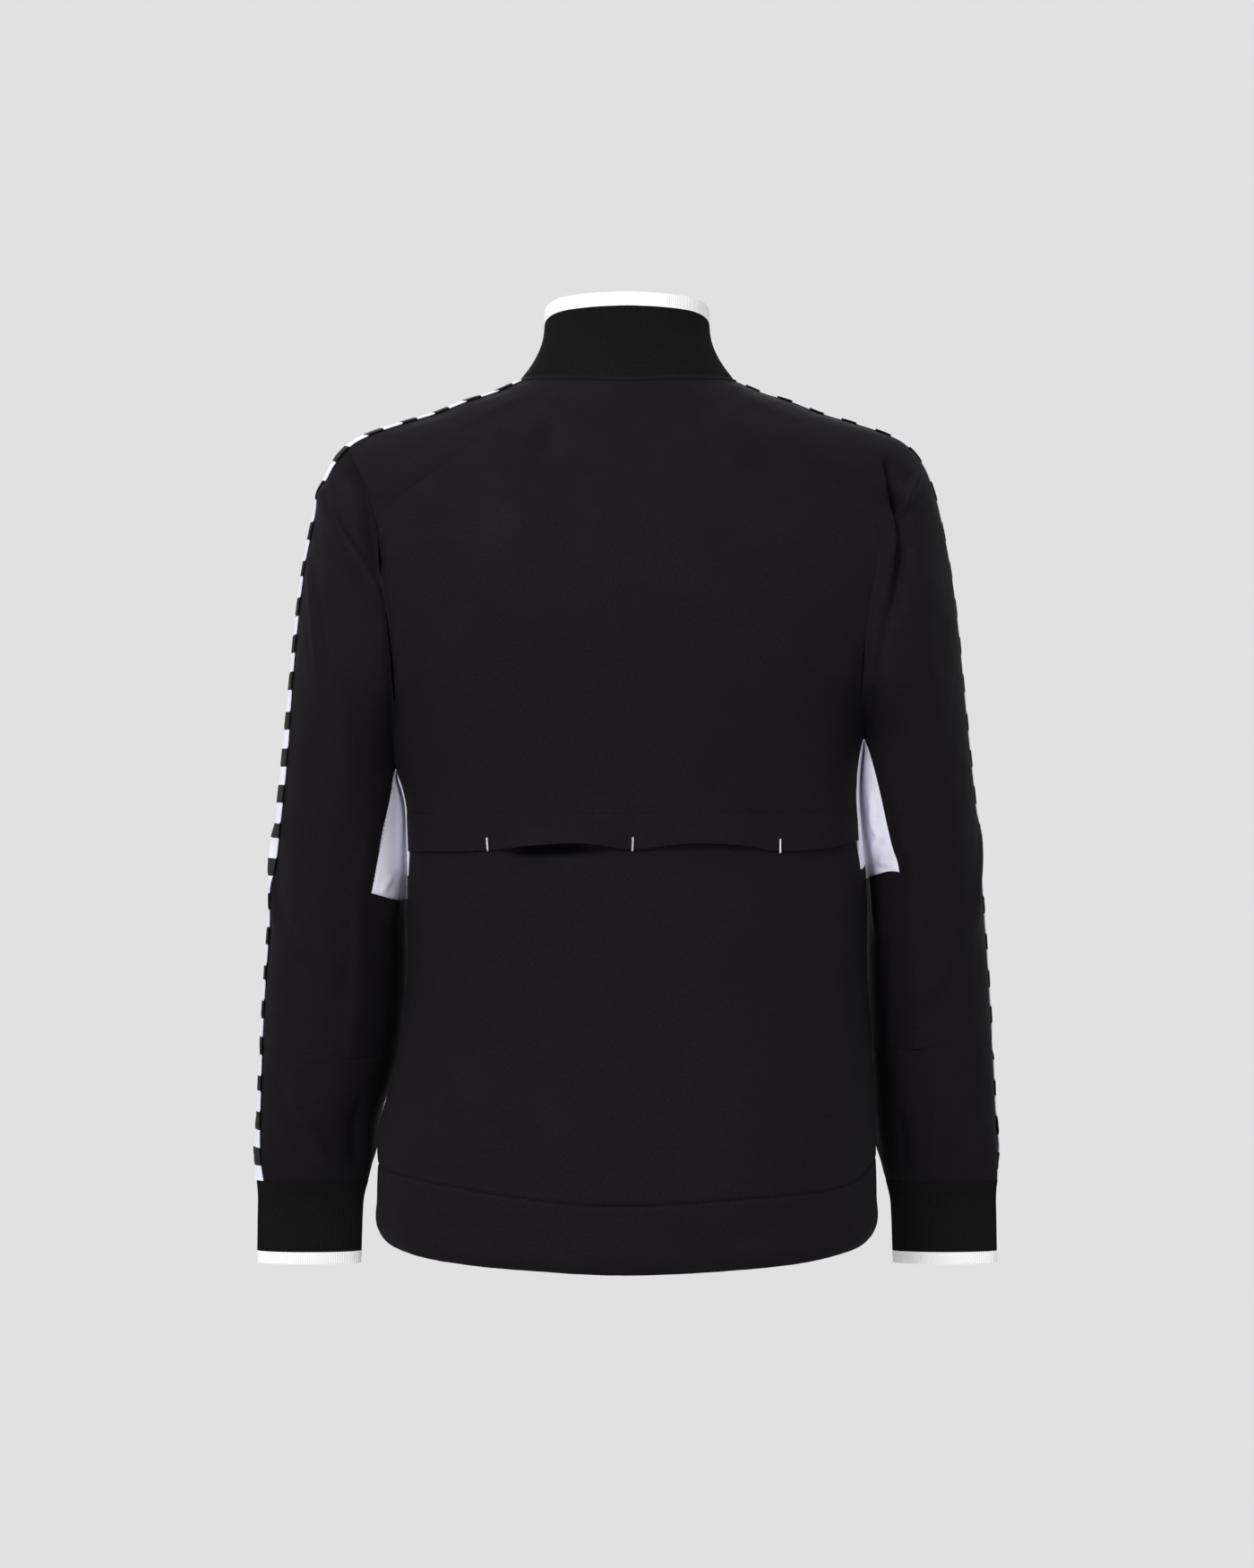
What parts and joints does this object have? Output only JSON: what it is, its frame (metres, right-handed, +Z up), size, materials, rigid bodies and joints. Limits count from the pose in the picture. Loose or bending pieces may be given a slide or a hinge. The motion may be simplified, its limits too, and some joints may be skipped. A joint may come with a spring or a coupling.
{
  "type": "windbreaker",
  "caption": "Zip-up windbreaker with a stand collar, raglan sleeves, taped shoulders, pale underarm gussets, a vented back and rib cuffs, standing open as if worn.",
  "frame": {"origin": "middle of the neck opening, level with the neck seam at the centre back, where the garment hangs on its wearer", "axes": "+Z up, the back faces +Y and the front -Y, +X is the wearer's left"},
  "size_m": [0.591, 0.2466, 0.7573],
  "materials": {
    "cloth": "smooth black woven nylon, slight sheen",
    "rib": "matt black rib knit",
    "tip": "white rib knit edge",
    "mesh": "pale matt woven cloth",
    "tape": "tape of pale and dark blocks in turn",
    "zip": "black coil zip and its tape",
    "metal": "black enamelled zip slider and pull tab"
  },
  "bodies": {
    "garment": {"back_lower": "cloth", "back_upper": "cloth", "collar": "rib", "collar_tip": "tip", "cuff_left": "rib", "cuff_right": "rib", "cuff_tip_left": "tip", "cuff_tip_right": "tip", "forearm_back_left": "cloth", "forearm_back_right": "cloth", "forearm_front_left": "cloth", "forearm_front_right": "cloth", "front_left": "cloth", "front_right": "cloth", "gusset_left": "mesh", "gusset_right": "mesh", "hem_back": "cloth", "hem_front_left": "cloth", "hem_front_right": "cloth", "sleeve_back_left": "cloth", "sleeve_back_right": "cloth", "sleeve_front_left": "cloth", "sleeve_front_right": "cloth", "sleeve_tape_left": "tape", "sleeve_tape_right": "tape", "zip_chain": "zip", "zip_slider": "metal", "zip_tape_left": "zip", "zip_tape_right": "zip"},
    "pull_tab": {"zip_pull": "metal"}
  },
  "joints": [
    {"name": "pull_tab_hinge", "type": "hinge", "parent": "garment", "child": "pull_tab", "pos_m": [0, -0.0702, 0.0025], "axis": [-1, 0, 0], "range_deg": [-2, 150]}
  ]
}
